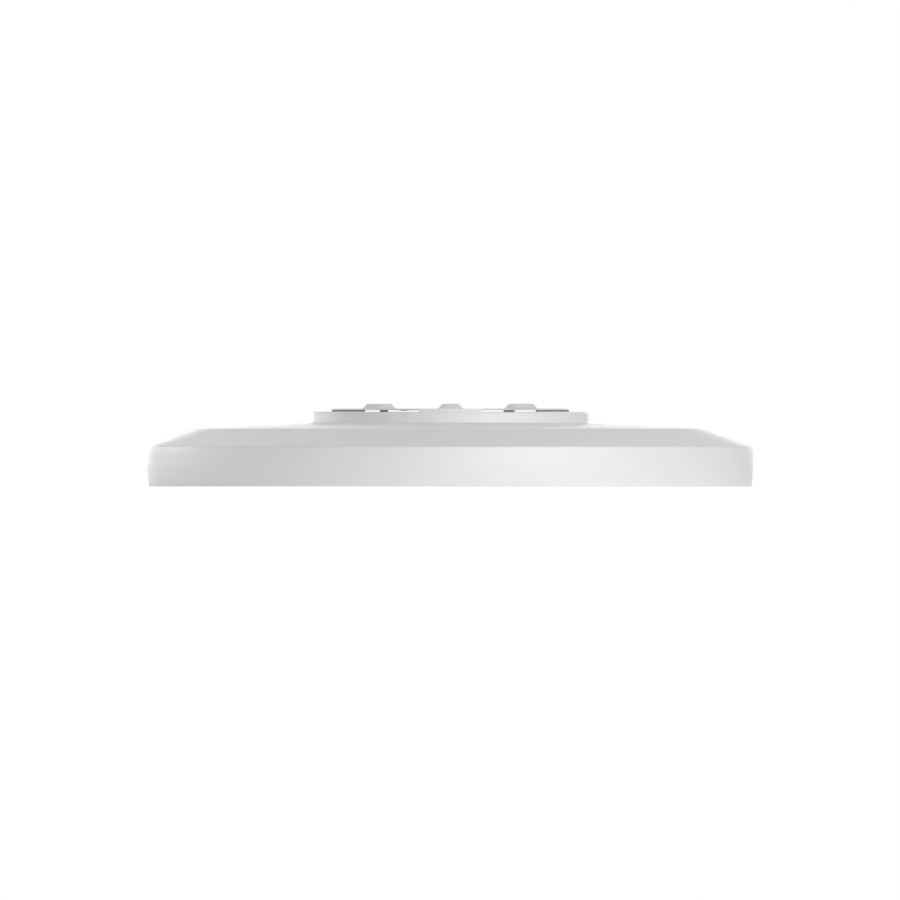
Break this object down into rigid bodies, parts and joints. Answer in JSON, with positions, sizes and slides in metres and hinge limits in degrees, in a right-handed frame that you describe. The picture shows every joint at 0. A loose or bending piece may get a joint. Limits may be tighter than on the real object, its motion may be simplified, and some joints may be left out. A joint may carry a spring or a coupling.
{
  "type": "ceiling access point",
  "caption": "Round wireless access point on a twist-lock ceiling bracket, with a cable bay, a network socket and a power jack at the back.",
  "frame": {"origin": "centre of the room-side face, which the object also rests on when it lies on a table", "axes": "+Z out of the ceiling side, along the axis of the round body; -Y towards the index block on the boss; the cable bay is on +Y"},
  "size_m": [0.22, 0.22, 0.03],
  "materials": {
    "white_case": "fine satin grain",
    "white_steel": "satin powder coat",
    "dark_rubber": "matt",
    "label": "satin film, blank",
    "clear_plastic": "clear",
    "board_green": "solder mask",
    "aluminium": "satin",
    "tinplate": "bright tin",
    "chip_black": "moulded epoxy",
    "socket_black": "satin",
    "thermal_grey": "soft silicone",
    "gold": "gold plated",
    "screw_steel": "zinc plated",
    "button_grey": "satin"
  },
  "bodies": {
    "housing": {"front_cover": "white_case", "rear_housing": "white_case", "rear_label": "label", "light_pipe": "clear_plastic", "main_board": "board_green", "heat_sink": "aluminium", "soc_shield": "tinplate", "soc_chip": "chip_black", "soc_thermal_pad": "thermal_grey", "radio_left_shield": "tinplate", "radio_left_chip": "chip_black", "radio_left_thermal_pad": "thermal_grey", "radio_right_shield": "tinplate", "radio_right_chip": "chip_black", "radio_right_thermal_pad": "thermal_grey", "memory_chip": "chip_black", "antenna_1": "tinplate", "antenna_2": "tinplate", "antenna_3": "tinplate", "antenna_4": "tinplate", "antenna_5": "tinplate", "antenna_6": "tinplate", "ethernet_shield": "tinplate", "ethernet_body": "socket_black", "ethernet_contacts": "gold", "dc_socket_body": "socket_black", "dc_socket_pin": "tinplate", "reset_switch": "chip_black", "poe_transformer": "chip_black", "power_inductor": "chip_black", "capacitor_1": "aluminium", "capacitor_2": "aluminium", "capacitor_3": "aluminium", "status_led": "clear_plastic", "case_screw_1": "screw_steel", "case_screw_2": "screw_steel", "case_screw_3": "screw_steel", "case_screw_4": "screw_steel", "heat_sink_screw_1": "screw_steel", "heat_sink_screw_2": "screw_steel", "heat_sink_screw_3": "screw_steel", "heat_sink_screw_4": "screw_steel", "board_screw_1": "screw_steel", "board_screw_2": "screw_steel"},
    "bracket": {"mounting_bracket": "white_steel", "damper_right": "dark_rubber", "damper_left": "dark_rubber"},
    "reset": {"reset_button": "button_grey"}
  },
  "joints": [
    {"name": "bracket_twist", "type": "hinge", "parent": "housing", "child": "bracket", "pos_m": [0, 0, 0.028], "axis": [0, 0, 1], "range_deg": [0, 12]},
    {"name": "reset_press", "type": "slide", "parent": "housing", "child": "reset", "axis": [0, -1, 0], "range_m": [0, 0.0004], "stiffness_N_per_m": 300}
  ]
}
